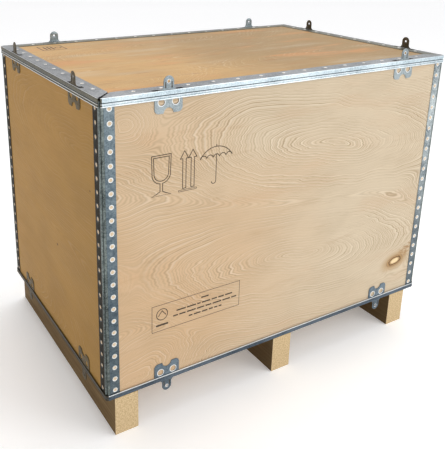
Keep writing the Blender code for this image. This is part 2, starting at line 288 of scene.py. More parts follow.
def plywood(
    name, axes, faces, tones, lines, eyes, knot=None, pins=(), turn=0.0, dirt=None, gloss=0.3, stain=0.12,
):
    """Rotary-cut veneer: rings that close round a few eyes, fine fibres, pores and plied edges.

    Axes are those along the panel, across it and through it, and faces the two levels of its faces.
    Tones are its colours at the two ends and that of its darker grain, whose strength is lines. Eyes are
    what eye_distance takes. Knot is a knot's place, and pins are places and sizes of pin knots. Turn moves
    the noise. The argument after turn is how far from the middle the painted shadow under the flanges
    starts, and stain the streaks' strength.
    """
    near_tone, far_tone, dark = tones
    looks = Looks(name)
    along, across, through, flat = flattened(looks, axes)
    moved = looks.add("VectorMath", flat, (turn, 1.7 * turn, 0.0), operation="ADD").outputs[0]
    other = looks.add("VectorMath", moved, (4.1, 9.2, 0.0), operation="ADD").outputs[0]

    def warped(value, vector, sizes):
        for size, scale, detail in zip(sizes, ((2.3, 2.3), (9.0, 9.0), (9.0, 62.0)), (1.0, 1.0, 2.0)):
            value = looks.times_plus(looks.long_noise(vector, (*scale, 1), detail), size, value)
        return value

    bends = ((0.1, 0.034, 0.03), (0.07, 0.024, 0.006))
    bent_along = warped(along, moved, bends[0])
    bent_across = warped(across, other, bends[1])
    shift = [0.5 * sum(sizes) for sizes in bends]
    field = None
    for centre, *shape in eyes:
        reach = eye_distance(looks, bent_along, bent_across, [c + s for c, s in zip(centre, shift)], *shape)
        field = reach if field is None else looks.math("SMOOTH_MIN", field, reach, 0.05)
    if knot:
        near = eye_distance(looks, along, across, knot, 0.004, 1.8, 0.12, 0.0)
        pull = looks.math("EXPONENT", looks.times(near, -26.0))
        field = looks.times_plus(pull, 0.085, field)
    patches = looks.spread(looks.noise(moved, 4.2, 3.0), 0.36, 0.6, 0.3, 1.0)
    patches = looks.times(patches, looks.spread(along, -0.6, -0.1, 0.6, 1.0))
    bands = looks.noise(field, 34.0, 3.0, 0.6, "1D")
    force = looks.times(patches, looks.spread(bands, 0.36, 0.62, 0.15, 1.0))
    wander = looks.times(looks.noise(field, 14.0, 1.0, dimensions="1D"), 12.0)
    phase = looks.times_plus(field, WIDE_RINGS, wander)
    late = looks.times(looks.spread(looks.wave(phase), 0.45, 1.0), force)
    early = looks.times(looks.spread(looks.wave(looks.plus(phase, 1.3)), 0.45, 1.0), force)
    quick = looks.wave(looks.times_plus(field, FINE_RINGS, wander))
    fine = looks.times(quick, patches)

    fibres = looks.long_noise(flat, (16.0, 560.0, 1.0), 3.0, 0.65)
    pores = looks.spread(looks.long_noise(flat, (70.0, 1300.0, 1.0), 1.0), 0.66, 0.78)
    clouds = looks.noise(looks.stretch(moved, (1.0, 2.0, 1.0)), 5.0, 3.0, 0.55)
    tone = looks.times(late, 0.86 * lines)
    tone = looks.times_plus(fine, 0.6 * lines, tone)
    tone = looks.times_plus(looks.spread(clouds, 0.3, 0.72), 0.22, tone)
    tone = looks.times_plus(looks.minus(fibres, 0.5), 0.4, tone)
    tone = looks.times_plus(pores, 0.12, tone)
    drift = looks.times_plus(looks.noise(moved, 2.4, 2.0), 0.9, along)
    drift = looks.times_plus(across, 0.6, drift)
    middle = 0.45 + 0.6 * 0.5 * (BELT_Z + BELT_TOP) * (axes[1] == 2)
    ground = looks.mix(looks.spread(drift, middle - 0.6, middle + 0.25), near_tone, far_tone)
    smear = looks.long_noise(moved, (2.2, 11.0, 1.0), 4.0, 0.6)
    ground = looks.mix(looks.spread(smear, 0.52, 0.7, 0.0, stain), ground, REDDENED)
    ground = looks.mix(looks.spread(smear, 0.48, 0.3, 0.0, 0.6 * stain), ground, GREYED)
    dashes = looks.long_noise(moved, (7.0, 70.0, 1.0), 4.0, 0.6)
    ground = looks.mix(looks.spread(dashes, 0.58, 0.68, 0.0, stain), ground, BROWN_DASH)
    colour = looks.mix(tone, ground, dark)
    bright = looks.mix(0.5, ground, BRIGHT_GRAIN)
    colour = looks.mix(looks.times(early, 0.9 * lines), colour, bright)
    if knot:
        swirl = looks.times_plus(looks.noise(moved, 90.0), 5.0, looks.times(near, 900.0))
        bark = looks.mix(looks.spread(looks.wave(swirl), -0.7, 0.9), *BARK)
        beside = eye_distance(looks, along, across, (knot[0] + 0.046, knot[1] + 0.03), 0.004, 1.6, 0.4, 0.0)
        torn = looks.spread(looks.long_noise(moved, (60.0, 150.0, 1.0), 3.0), 0.42, 0.6)
        torn = looks.times(torn, looks.spread(beside, 0.01, 0.034, 0.85, 0.0))
        colour = looks.mix(torn, colour, TORN_GRAIN)
        colour = looks.mix(looks.spread(near, 0.014, 0.044, 0.75, 0.0), colour, KNOT_HALO)
        colour = looks.mix(looks.spread(near, 0.015, 0.022, 1.0, 0.0), colour, bark)
        colour = looks.mix(looks.spread(near, 0.006, 0.0105, 1.0, 0.0), colour, KNOT_HEART)
    for place, size in pins:
        near_pin = eye_distance(looks, along, across, place, 0.001, 1.3, 0.0, 0.0)
        colour = looks.mix(looks.spread(near_pin, 0.4 * size, size, 0.85, 0.0), colour, PIN_KNOT)

    level = looks.minus(through, faces[0])
    share = looks.times(level, 1.0 / (faces[1] - faces[0]))
    inside = looks.spread(looks.math("ABSOLUTE", looks.minus(share, 0.5)), 0.455, 0.475, 1.0, 0.0)
    plies = looks.wave(looks.times(share, 15.7))
    ply_tone = looks.times_plus(looks.long_noise(flat, (90.0, 90.0, 900.0)), 0.5, plies)
    edge = looks.mix(looks.spread(ply_tone, -0.2, 0.7), *PLY_EDGE)
    colour = looks.mix(inside, colour, edge)
    # Painted shadow: the border under the flanges and in the lid's open seam turns dark.
    if dirt:
        sides = zip((along, across), dirt)
        edges = [looks.minus(looks.math("ABSOLUTE", way), limit) for way, limit in sides]
        shadowed = looks.spread(looks.math("MAXIMUM", *edges), -0.001, 0.001)
        colour = looks.mix(shadowed, colour, PAINTED_FLANGE_SHADOW)

    relief = looks.times_plus(late, -0.05, fibres)
    relief = looks.times_plus(pores, -0.6, relief)
    normal = looks.bump(relief, 0.00022, 0.55)
    normal = looks.bump(clouds, 0.0012, 0.35, normal)
    roughness = looks.times_plus(fibres, 0.22, 0.46)
    return looks.finish(colour, roughness, normal, Specular_IOR_Level=gloss)


SAWN_SHADOW = (0.05, 0.03, 0.011)


def sawn(name, light, dark, side_tone, shade):
    """Sawn softwood: end grain on the ends, and on the sides long grain, saw marks and darker tones, which
    are partly painted shade.

    Shade is how much a painted shade darkens the sides that face -X.
    """
    looks = Looks(name)
    parts = looks.add("SeparateXYZ", looks.place).outputs
    facing = looks.add("SeparateXYZ", looks.add("NewGeometry").outputs["Normal"]).outputs
    end = looks.spread(looks.math("ABSOLUTE", facing[1]), 0.55, 0.8)
    bent = looks.noise(looks.place, 5.0, 2.0)
    a = looks.plus(parts[0], looks.times(bent, 0.05))
    b = looks.minus(parts[2], 0.19)
    distance = looks.math("SQRT", looks.times_plus(b, b, looks.times(a, looks.times(a, 0.02))))
    wobble = looks.long_noise(looks.place, (30.0, 3.0, 30.0), 2.0)
    rings = looks.wave(looks.times_plus(wobble, 3.0, looks.times(distance, 1500.0)))
    speckle = looks.noise(looks.place, 210.0, 4.0, 0.75)
    marks = looks.long_noise(looks.place, (25.0, 420.0, 8.0), 2.0)
    grain = looks.long_noise(looks.place, (160.0, 5.0, 160.0), 4.0, 0.6)
    rings = looks.spread(rings, -1.0, 1.0)
    end_tone = looks.times_plus(rings, 0.22, looks.spread(speckle, 0.38, 0.66, 0.0, 0.85))
    long_tone = looks.times_plus(marks, 0.25, looks.spread(grain, 0.3, 0.7))
    ends = looks.mix(end_tone, light, dark)
    # The sides' darker tone is partly the long grain's own and partly painted shade.
    side_colours = [tuple(c * t for c, t in zip(colour, side_tone)) for colour in (light, dark)]
    sides = looks.mix(long_tone, *side_colours)
    # Painted shade on the sides that face -X.
    sides = looks.mix(looks.spread(facing[0], -0.5, -0.8, 0.0, shade), sides, SAWN_SHADOW)
    colour = looks.mix(end, sides, ends)
    relief = looks.plus(looks.times(speckle, end), grain)
    relief = looks.times_plus(marks, 0.8, relief)
    normal = looks.bump(relief, 0.0006, 0.6)
    roughness = looks.times_plus(grain, 0.2, 0.62)
    return looks.finish(colour, roughness, normal, Specular_IOR_Level=0.25)


def torn_wood():
    """Pale fibres that stand in a clinched hole."""
    looks = Looks("torn_wood")
    shreds = looks.noise(looks.place, 520.0, 3.0, 0.7)
    colour = looks.mix(looks.spread(shreds, 0.4, 0.62), (0.88, 0.74, 0.54), (0.42, 0.27, 0.14))
    return looks.finish(colour, looks.times_plus(shreds, 0.2, 0.6), looks.bump(shreds, 0.0006, 0.8))


def ink():
    """Stamped ink that is worn thin in places."""
    looks = Looks("stamped_ink")
    worn = looks.noise(looks.place, 420.0, 3.0, 0.7)
    colour = looks.mix(looks.spread(worn, 0.3, 0.75), (0.018, 0.012, 0.006), (0.085, 0.056, 0.028))
    return looks.finish(colour, looks.times_plus(worn, 0.2, 0.6), looks.bump(worn, 0.0001, 0.4))


# ---- mesh helpers


def new_object(name, data):
    item = bpy.data.objects.new(name, data)
    bpy.context.scene.collection.objects.link(item)
    return item


def new_piece(bm, name, finishes, body, nodes=(), solid=None, angle=32.0):
    """A finished piece from a bmesh: merged, shaded, given its finishes and put on its body."""
    bmesh.ops.remove_doubles(bm, verts=bm.verts, dist=2e-6)
    bmesh.ops.dissolve_degenerate(bm, edges=bm.edges, dist=1e-6)
    mesh = bpy.data.meshes.new(name)
    bm.to_mesh(mesh)
    bm.free()
    for finish in finishes:
        mesh.materials.append(finish)
    piece = new_object(name, mesh)
    if solid:
        sheet = piece.modifiers.new("sheet", "SOLIDIFY")
        sheet.thickness = solid
        sheet.offset = -1.0
        graph = bpy.context.evaluated_depsgraph_get()
        piece.data = bpy.data.meshes.new_from_object(piece.evaluated_get(graph))
        piece.modifiers.clear()
        bpy.data.meshes.remove(mesh)
        piece.data.name = name
    piece.data.shade_smooth()
    piece.data.set_sharp_from_angle(angle=math.radians(angle))
    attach(piece, body)
    if nodes:
        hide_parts(*nodes)
    return piece


def spot(station, depth):
    """The plan point of a station, at a depth below the outer plane, with rounded corners."""
    side, along, turn, pull = station
    _, direction, out, half, span = SIDES[side]
    if turn is None:
        return direction * along + out * (span - depth)
    inset = max(CORNER_RADIUS, depth)
    reach = max(CORNER_RADIUS - depth, 0.0)
    centre = direction * (half - inset) + out * (span - inset)
    around = out * math.cos(turn) + direction * math.sin(turn)
    away = pull * min(depth / CORNER_RADIUS, 1.0)
    drift = direction * -away if turn < math.pi / 4 else out * -away
    return centre + around * reach + drift


def loop_stations(breaks, seam):
    """Stations round the crate: side, place along it, turn round a corner and pull back from the seam."""
    stations = []
    if seam:
        stations += [(3, 0.0, math.radians(64 + 6.5 * step), SEAM_GAP) for step in range(4)]
    for side in range(4):
        half = SIDES[side][3] - CORNER_RADIUS
        for along in sorted((-half, half, *breaks[side])):
            stations.append((side, along, None, 0.0))
        if seam and side == 3:
            stations += [(3, 0.0, math.radians(6.5 * step), SEAM_GAP) for step in range(1, 5)]
        else:
            stations += [(side, 0.0, math.radians(15 * step), 0.0) for step in range(1, 6)]
    return stations


def place_along(node, direction):
    low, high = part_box(node)
    return ((low + high) / 2).to_2d().dot(direction)


def tongue_places(side):
    """Distances of a side's two tongues along it, from the frame."""
    name, direction = SIDES[side][:2]
    nodes = [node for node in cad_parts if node.startswith(f"upper_tongue_{name}_")]
    return sorted(place_along(node, direction) for node in nodes)


def sweep_edge(bm, section, height, seam):
    """The rim and the outer band of a flange round all four sides, with slots for the tongues."""
    slots = [tongue_places(side) for side in range(4)]
    reaches = (SLOT_HALF, SLOT_HALF - SLOT_NOTCH)
    breaks = [[s + sign * r for s in slots[side] for sign in (-1, 1) for r in reaches] for side in range(4)]
    stations = loop_stations(breaks, seam)
    rings = []
    for station in stations:
        rings.append([bm.verts.new((*spot(station, d), height(h))) for d, h, _ in section])
    # On the left side these finishes take 5, a darker copy that is painted shade.
    left_shaded_finishes = (4, 6) if seam else (0, 1, 4)
    pairs = list(zip(range(len(rings)), range(1, len(rings))))
    if not seam:
        pairs.append((len(rings) - 1, 0))
    for i, j in pairs:
        middle = (stations[i][1] + stations[j][1]) / 2
        straight = stations[i][2] is None and stations[j][2] is None
        shaded = stations[i][0] == 3 and stations[j][0] == 3
        offset = min(abs(middle - s) for s in slots[stations[i][0]]) if straight else 1.0
        cut = 0.0 if offset > SLOT_HALF else SLOT_HIGH if offset < SLOT_HALF - SLOT_NOTCH else BAND
        for k in range(len(section) - 1):
            if section[k][0] < cut + 1e-6 and section[k + 1][0] > SLOT_LOW - 1e-6:
                continue
            face = bm.faces.new((rings[i][k], rings[j][k], rings[j][k + 1], rings[i][k + 1]))
            face.material_index = 5 if shaded and section[k][2] in left_shaded_finishes else section[k][2]


def pierced_strip(bm, place, ends_low, ends_high, low, high, centres, middle, burr, finish=0, size=1.0):
    """A flat strip with a row of clinched holes. Place turns along, across and lift into a point.

    It runs from low to high across, between ends_low at low and ends_high at high. Its faces look
    towards the lift, and the sheet is later thickened away from it.
    """
    up = Vector(place(0, 0, 1)) - Vector(place(0, 0, 0))

    def face(verts, kind):
        made = bm.faces.new(verts)
        made.material_index = kind
        made.normal_update()
        if made.normal.dot(up) < 0:
            made.normal_flip()

    def end(*points):
        face([bm.verts.new(place(*point, 0)) for point in points], finish)

    pitch = centres[1] - centres[0]
    first, last = centres[0] - pitch / 2, centres[-1] + pitch / 2
    end((ends_low[0], low), (first, low), (first, high), (ends_high[0], high))
    end((last, low), (ends_low[1], low), (ends_high[1], high), (last, high))
    for centre in centres:
        radius = HOLE_RADIUS * size + CHANCE.uniform(-0.0003, 0.0003)
        shift = CHANCE.uniform(-0.0006, 0.0006)
        rings = [[] for _ in range(len(HOLE_LIP) + 1)]
        for step in range(HOLE_SIDES):
            angle = 2 * math.pi * step / HOLE_SIDES
            c, s = math.cos(angle), math.sin(angle)
            reach = 1.0 / max(abs(c), abs(s))
            across = middle + s * reach * (high - middle if s > 0 else middle - low)
            rings[0].append((centre + c * reach * pitch / 2, across, 0.0))
            for loop, (grow, rise, lift) in zip(rings[1:], HOLE_LIP):
                reach = radius + grow * size
                loop.append((centre + shift + c * reach, middle + s * reach, lift + rise * burr))
        verts = [[bm.verts.new(place(*point)) for point in loop] for loop in rings]
        for level, (outer, inner) in enumerate(zip(verts, verts[1:])):
            for i in range(HOLE_SIDES):
                j = (i + 1) % HOLE_SIDES
                face((outer[i], outer[j], inner[j], inner[i]), LIP_FINISH[level] or finish)
        face(verts[-1], 2)


def spaced(half, pitch, margin):
    """Evenly spaced places either side of the middle of a run."""
    count = int((2 * (half - margin)) // pitch)
    return [(i - count / 2) * pitch for i in range(count + 1)]


def edge_frame(body, section, height, outward, seam, burr, finishes):
    """A whole edge frame of the lid or the base: swept rim, slots and four pierced flange strips.

    Height turns a distance from the flange into Z, and outward is the way that the flange looks along Z.
    The slots' loose tabs are turned outwards too, before the sheet is thickened.
    """
    bm = bmesh.new()
    sweep_edge(bm, section, height, seam)
    bmesh.ops.recalc_face_normals(bm, faces=bm.faces)
    bm.normal_update()
    if sum(face.normal.z * face.calc_area() for face in bm.faces) * outward < 0:
        bmesh.ops.reverse_faces(bm, faces=bm.faces)
    for face in bm.faces:
        if abs(face.calc_center_median().z - height(0.0)) < 1e-5 and face.normal.z * outward < 0:
            face.normal_flip()
    for side, (_, direction, out, half, span) in enumerate(SIDES):

        def place(along, depth, lift):
            return (*(direction * along + out * (span - depth)), height(0.0) + outward * lift)

        gaps = [SEAM_GAP if seam and side == seam_side else MITRE_GAP for seam_side in (0, 3)]
        low, high = BAND, FLANGE_WIDTH
        ends = [(-half + depth + gaps[0], half - depth - gaps[1]) for depth in (low, high)]
        centres = spaced(half, FLANGE_PITCH[side % 2], 0.085)
        finish = 5 if side in (1, 2) else 0
        pierced_strip(bm, place, *ends, low, high, centres, FLANGE_LINE, burr, finish, HOLE_SCALE)
    nodes = [f"{body}_edge_{side[0]}" for side in SIDES]
    new_piece(bm, f"{body}_strip_frame", finishes, body, nodes, SHEET)


def arc(centre, radius, start, end, steps):
    """Points round a centre from one angle in degrees to another."""
    angles = [math.radians(start + (end - start) * step / steps) for step in range(steps + 1)]
    return [(centre[0] + radius * math.cos(a), centre[1] + radius * math.sin(a)) for a in angles]


# ---- steel pieces

# Profiles from the flange over the bend to the free edge: depth from the outer plane, distance from the
# flange, and the finish of the face that follows: 0 strip, 1 bright, a painted highlight on the bends,
# 3 shaded fold, 4 rim, on the lid a brighter copy that is a painted reflection, 6 soft fold, a milder
# painted shade. On the left side the lid's 4 and 6 and the base's 0, 1 and 4 turn into 5, a darker copy
# that is painted shade.
LID_SECTION = (
    (BAND, 0.0, 0), (SLOT_HIGH, 0.0, 0), (SLOT_LOW, 0.0, 0), (0.0002, 0.0002, 1),
    (-0.0005, 0.0008, 4), (-0.0009, 0.0018, 4), (-0.0009, 0.004, 4), (-0.0007, 0.007, 4),
    (-0.0007, 0.0098, 4), (-0.0003, 0.0112, 4), (0.0006, 0.012, 3), (0.0008, 0.0128, 3),
    (0.0002, 0.0136, 4), (-0.0008, 0.0144, 1), (-0.0011, 0.0156, 4), (-0.001, 0.0172, 4),
    (-0.0005, 0.0184, 6), (0.0001, 0.0192, 6), (-0.0004, 0.02, 4), (-0.0011, 0.0208, 1),
    (-0.0013, 0.0217, 1), (-0.0012, 0.0226, 4), (-0.0004, LID_RIM, 3), (0.0004, LID_RIM, 3),
)
BASE_SECTION = (
    (BAND, 0.0, 0), (SLOT_HIGH, 0.0, 0), (SLOT_LOW, 0.0, 0), (0.0003, 0.0002, 0), (-0.0003, 0.0009, 0),
    (-0.0004, 0.002, 4), (-0.0003, 0.0058, 4), (0.0, 0.007, 3), (0.0003, 0.008, 3), (-0.0003, 0.0092, 4),
    (-0.0004, 0.0118, 4), (-0.0006, 0.013, 4), (-0.001, 0.0138, 1), (-0.0012, 0.0148, 1),
    (-0.0008, 0.0157, 1), (0.0, BASE_RIM, 1), (0.0006, BASE_RIM, 1),
)


def corner_half(depth, radius, fold_angle):
    """One face of a corner profile from its flange round its bead, as distances inwards."""
    centre = (BEAD_INSET, TONGUE_OUTER + BEAD_RADIUS)
    start = 270.0 + math.degrees(math.acos((centre[1] - depth) / radius))
    return [(BEAD_OVERLAP, depth)] + arc(centre, radius, start, fold_angle, 8)


def make_corner(name, sign_x, sign_y, finishes, bead_finish):
    """An upright profile: a pair of folding beads between two flanges with clinched holes.

    Finishes are those of the flange on the side that faces X and of the one that faces Y.
    """

    def plan(u, v):
        return sign_x * (HALF_X - u), sign_y * (HALF_Y - v)

    to_diagonal = (BEAD_INSET - TONGUE_OUTER - BEAD_RADIUS) / math.sqrt(2)
    fold_angle = 135.0 + math.degrees(math.acos(to_diagonal / BEAD_RADIUS))
    outer = corner_half(FLANGE_OUTER, BEAD_RADIUS, fold_angle)
    inner = corner_half(FLANGE_OUTER + SHEET, BEAD_RADIUS - SHEET, 180.0)
    inner.append((BEAD_INSET - BEAD_RADIUS + SHEET,) * 2)
    outline = outer + [(b, a) for a, b in outer[-2::-1]]
    outline += [(b, a) for a, b in inner] + inner[-2::-1]
    bm = bmesh.new()
    low = [bm.verts.new((*plan(*point), BELT_Z)) for point in outline]
    high = [bm.verts.new((*plan(*point), BELT_TOP)) for point in outline]
    for i in range(len(outline)):
        j = (i + 1) % len(outline)
        bm.faces.new((low[i], low[j], high[j], high[i]))
    bm.faces.new(low)
    bm.faces.new(high)
    bmesh.ops.recalc_face_normals(bm, faces=bm.faces)
    profile = [f"corner_profile_{name}"]
    beads = new_piece(bm, f"corner_beads_{name}", (bead_finish,), "belt", profile, angle=50.0)
    middle = (BELT_Z + BELT_TOP) / 2
    centres = [middle + place for place in spaced((BELT_TOP - BELT_Z) / 2, CORNER_PITCH, 0.012)]
    for face in ("x", "y"):
        bm = bmesh.new()

        def place(along, inwards, lift):
            flat = (inwards, FLANGE_OUTER - lift)
            return (*plan(*(flat if face == "y" else flat[::-1])), along)

        ends = (BELT_Z, BELT_TOP)
        pierced_strip(bm, place, ends, ends, *CORNER_FLANGE, centres, CORNER_LINE, BURR)
        flange = new_piece(bm, f"corner_flange_{name}_{face}", finishes[face], "belt", (), SHEET)


def both_halves(half):
    """A whole outline from its right half."""
    return half + [(-x, z) for x, z in half[::-1] if x > 1e-5]


def ring(centre, radius, sides):
    return arc(centre, radius, 0.0, 360.0 - 360.0 / sides, sides - 1)


def capsule(centre, half_width, half_length, steps=5):
    reach = half_length - half_width
    top = arc((centre[0], centre[1] + reach), half_width, 0.0, 180.0, steps)
    bottom = arc((centre[0], centre[1] - reach), half_width, 180.0, 360.0, steps)
    return top + bottom


def stamped_mesh(name, outlines, thickness, edge, shift):
    """Sheet cut to the first outline with the others as holes, its edges eased, standing in X and Z.

    Its outer face is at Y = 0 before the shift inwards along +Y.
    """
    curve = bpy.data.curves.new(name, "CURVE")
    curve.dimensions = "2D"
    curve.fill_mode = "BOTH"
    curve.extrude = thickness / 2 - edge
    curve.bevel_depth = edge
    curve.bevel_resolution = 1
    curve.offset = -edge
    for outline in outlines:
        spline = curve.splines.new("POLY")
        spline.points.add(len(outline) - 1)
        for point, (x, z) in zip(spline.points, outline):
            point.co = (x, z, 0.0, 1.0)
        spline.use_cyclic_u = True
    holder = new_object(name, curve)
    graph = bpy.context.evaluated_depsgraph_get()
    mesh = bpy.data.meshes.new_from_object(holder.evaluated_get(graph))
    bpy.data.objects.remove(holder)
    mesh.transform(Matrix.Translation((0, shift + thickness / 2, 0)) @ Matrix.Rotation(math.pi / 2, 4, "X"))
    return mesh


def joined(name, meshes):
    """One smooth-shaded mesh from several, with its sharp bends kept."""
    bm = bmesh.new()
    for mesh in meshes:
        bm.from_mesh(mesh)
    bmesh.ops.remove_doubles(bm, verts=bm.verts, dist=1e-6)
    whole = bpy.data.meshes.new(name)
    bm.to_mesh(whole)
    bm.free()
    whole.shade_smooth()
    whole.set_sharp_from_angle(angle=math.radians(40.0))
    return whole


def collar_mesh(name, centre, radius, width, lift, depth, sides=28):
    """The dished lip round a hole: its worn edge rises a little and then turns down into the hole. The edge
    takes the second finish, a bright burr that is partly a painted highlight, and the wall in the hole the
    third, which is painted shade on all but the back tongues.
    """
    bm = bmesh.new()
    profile = ((radius + width, 0.0), (radius + 0.6 * width, -lift), (radius + 0.2 * width, -lift))
    profile += ((radius - 0.1 * width, 0.2 * depth), (radius - 0.35 * width, depth))
    rings = []
    for reach, y in profile:
        points = ring(centre, reach, sides)
        rings.append([bm.verts.new((x, y, z)) for x, z in points])
    for outer, inner, finish in zip(rings, rings[1:], (1, 1, 1, 2)):
        for i in range(sides):
            j = (i + 1) % sides
            bm.faces.new((outer[i], inner[i], inner[j], outer[j])).material_index = finish
    mesh = bpy.data.meshes.new(name)
    bm.to_mesh(mesh)
    bm.free()
    return mesh


def plate_mesh():
    """The fixed half of a tongue, with two dished holes and two feet round a notch."""
    foot, notch = 0.012, 0.014
    half = [(NECK_HALF, 0.0)]
    half += arc((NECK_HALF + 0.015, -0.002), 0.015, 180.0, 270.0, 8)
    half += arc((0.0275, foot - PLATE_LENGTH), foot, 0.0, -90.0, 8)
    half += arc((0.0, -PLATE_LENGTH), notch, 0.0, 90.0, 10)
    thickness = TONGUE_INNER - TONGUE_OUTER
    holes = [ring(centre, PLATE_HOLE_RADIUS, 28) for centre in PLATE_HOLES]
    sheet = stamped_mesh("plate_sheet", [both_halves(half)] + holes, thickness, 0.00025, 0.0)
    lips = [collar_mesh("plate_lip", centre, 0.009, 0.0021, 0.0003, thickness) for centre in PLATE_HOLES]
    return joined("tongue_plate_sheet", [sheet, *lips])


def blade_mesh():
    """The bending half of a tongue: two pressed grooves beside its middle and a nail hole in its tip."""
    flare = NECK_HALF - BLADE_HALF
    half = arc((NECK_HALF, 0.0003 + flare), flare, 270.0, 180.0, 8)
    half += arc((0.0, BLADE_LENGTH - BLADE_HALF), BLADE_HALF, 0.0, 90.0, 12)
    hole = ring(NAIL_HOLE, NAIL_HOLE_RADIUS, 20)
    grooves = [capsule(centre, 0.0014, 0.008) for centre in GROOVES]
    thickness = TONGUE_INNER - TONGUE_OUTER
    pressed = 0.6 * thickness
    face = stamped_mesh("blade_face", [both_halves(half), hole, *grooves], pressed, 0.0002, 0.0)
    back = stamped_mesh("blade_back", [both_halves(half), hole], 0.4 * thickness, 0.0002, pressed)
    # The back layer takes the third finish, which shows at the bottom of the grooves as painted shade on all
    # but the back tongues.
    for polygon in back.polygons:
        polygon.material_index = 2
    lip = collar_mesh("blade_lip", NAIL_HOLE, 0.004, 0.0015, 0.0002, pressed, 20)
    return joined("tongue_blade_sheet", [face, back, lip])


def make_tongues(finishes):
    """All sixteen tongues. Finishes are given by side, or else by upper or lower."""
    sheets = {}
    for key, finish in finishes.items():
        sheets[key, "plate"], sheets[key, "tongue"] = plate_mesh(), blade_mesh()
        for sheet in (sheets[key, "plate"], sheets[key, "tongue"]):
            for layer in finish:
                sheet.materials.append(layer)
    for name, direction, out, _, span in SIDES:
        turn = math.atan2(direction.y, direction.x)
        for node in list(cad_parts):
            row, kind, *rest = node.split("_")
            if kind not in ("plate", "tongue") or rest[0] != name or row not in ("upper", "lower"):
                continue
            bend = LID_Z if row == "upper" else BASE_Z
            corner = direction * place_along(node, direction) + out * (span - TONGUE_OUTER)
            key = name if name in finishes else row
            piece = new_object(f"stamped_{node}", sheets[key, kind])
            flip = Matrix.Rotation(math.pi if row == "lower" else 0.0, 4, "Y")
            piece.matrix_world = Matrix.Translation((*corner, bend)) @ Matrix.Rotation(turn, 4, "Z") @ flip
            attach(piece, "belt" if kind == "plate" else node)
            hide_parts(node)


# ---- handling marks


def stroke(bm, points, width, place, closed=False):
    """A flat inked line of a width along points, on the surface that place gives."""
    points = [Vector(point) for point in points]
    count = len(points)
    left, right = [], []
    for i, point in enumerate(points):
        before = points[i - 1] if closed or i else point
        after = points[(i + 1) % count] if closed or i < count - 1 else point
        first = (point - before).normalized()
        second = (after - point).normalized()
        run = (first + second).normalized() if (first + second).length > 1e-6 else second
        side = Vector((-run.y, run.x))
        square = max(abs(side.dot(Vector((-second.y, second.x)))), 0.5) if second.length else 1.0
        reach = side * width / 2 / square
        left.append(bm.verts.new(place(*(point + reach))))
        right.append(bm.verts.new(place(*(point - reach))))
    pairs = list(zip(range(count), range(1, count))) + ([(count - 1, 0)] if closed else [])
    for i, j in pairs:
        bm.faces.new((left[i], right[i], right[j], left[j]))


def box_outline(low, high):
    return [low, (high[0], low[1]), high, (low[0], high[1])]


def patch(bm, low, high, place):
    """A flat inked rectangle."""
    bm.faces.new([bm.verts.new(place(*corner)) for corner in box_outline(low, high)])


def make_front_marks(material):
    """Plain line drawings of a glass, two arrows and an umbrella, and an empty framed label."""
    bm = bmesh.new()
    level = WALL_OUTER - HALF_Y - INK_LIFT

    def place(u, v):
        return u - HALF_X, level, v

    def mirrored(points, middle):
        return points + [(2 * middle - u, v) for u, v in points[::-1]]

    wide = 0.0022
    glass, umbrella = 0.167, 0.3325
    outer = [(0.139, 0.79), (0.1405, 0.742)] + arc((glass, 0.7405), 0.0268, 188.0, 262.0, 8)
    outer += [(0.1632, 0.6925), (0.154, 0.6875), (0.139, 0.6815)]
    stroke(bm, mirrored(outer, glass), wide, place, True)
    inner = [(0.1445, 0.7845), (0.146, 0.743)] + arc((glass, 0.742), 0.0212, 188.0, 268.0, 8)
    stroke(bm, mirrored(inner, glass), wide, place, True)
    for middle in (0.2345, 0.2595):
        shaft, barb = middle - 0.005, middle - 0.012
        arrow = [(shaft, 0.6885), (shaft, 0.77), (barb, 0.77), (middle, 0.791)]
        stroke(bm, mirrored(arrow, middle), wide, place, True)
    stroke(bm, box_outline((0.218, 0.6805), (0.272, 0.6845)), 0.0014, place, True)
    stroke(bm, arc((umbrella, 0.7295), 0.0575, 28.5, 151.5, 20), wide, place)
    scallop = 0.0101
    scallops = []
    for i in range(5):
        scallops += arc((0.2921 + 2 * scallop * i, 0.756), scallop, 165.0, 15.0, 6)
    stroke(bm, scallops, wide, place)
    stroke(bm, [(umbrella, 0.787), (umbrella, 0.793)], wide, place)
    handle = arc((umbrella - 0.007, 0.691), 0.007, 0.0, -180.0, 8)
    stroke(bm, [(umbrella, 0.765), (umbrella, 0.691)] + handle, wide, place)

    stroke(bm, box_outline((0.14, 0.283), (0.427, 0.363)), 0.0015, place, True)
    stroke(bm, ring((0.171, 0.333), 0.017, 24), 0.0024, place, True)
    stroke(bm, [(0.159, 0.329), (0.171, 0.344), (0.183, 0.329)], 0.0024, place)
    patch(bm, (0.152, 0.298), (0.19, 0.3035), place)
    bar, space = 0.0021, 0.0042
    rows = ((0.347, 0.296, 0.326), (0.331, 0.216, 0.402), (0.3165, 0.206, 0.417), (0.3015, 0.256, 0.366))
    for v, low, high in rows:
        u = low
        while u < high:
            end = min(u + CHANCE.uniform(0.01, 0.03), high)
            patch(bm, (u, v - bar), (end, v + bar), place)
            u = end + space
    new_piece(bm, "handling_marks", (material,), "belt")


def make_lid_mark(material):
    """A small empty framed mark near the lid's back left corner."""
    bm = bmesh.new()
    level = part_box("lid_panel")[1].z + INK_LIFT

    def place(u, v):
        return u - HALF_X, v - HALF_Y, level

    wide, bar = 0.0032, 0.0055
    stroke(bm, box_outline((0.098, 0.652), (0.176, 0.722)), wide, place, True)
    for u in (0.112, 0.124, 0.136):
        patch(bm, (u, 0.664), (u + bar, 0.71), place)
    stroke(bm, ring((0.158, 0.687), 0.01, 16), wide, place, True)
    new_piece(bm, "lid_mark", (material,), "lid")


# ---- finishes on the frame's own nodes


def dress(material, *nodes):
    for node in nodes:
        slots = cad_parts[node].data.materials
        slots.clear()
        slots.append(material)


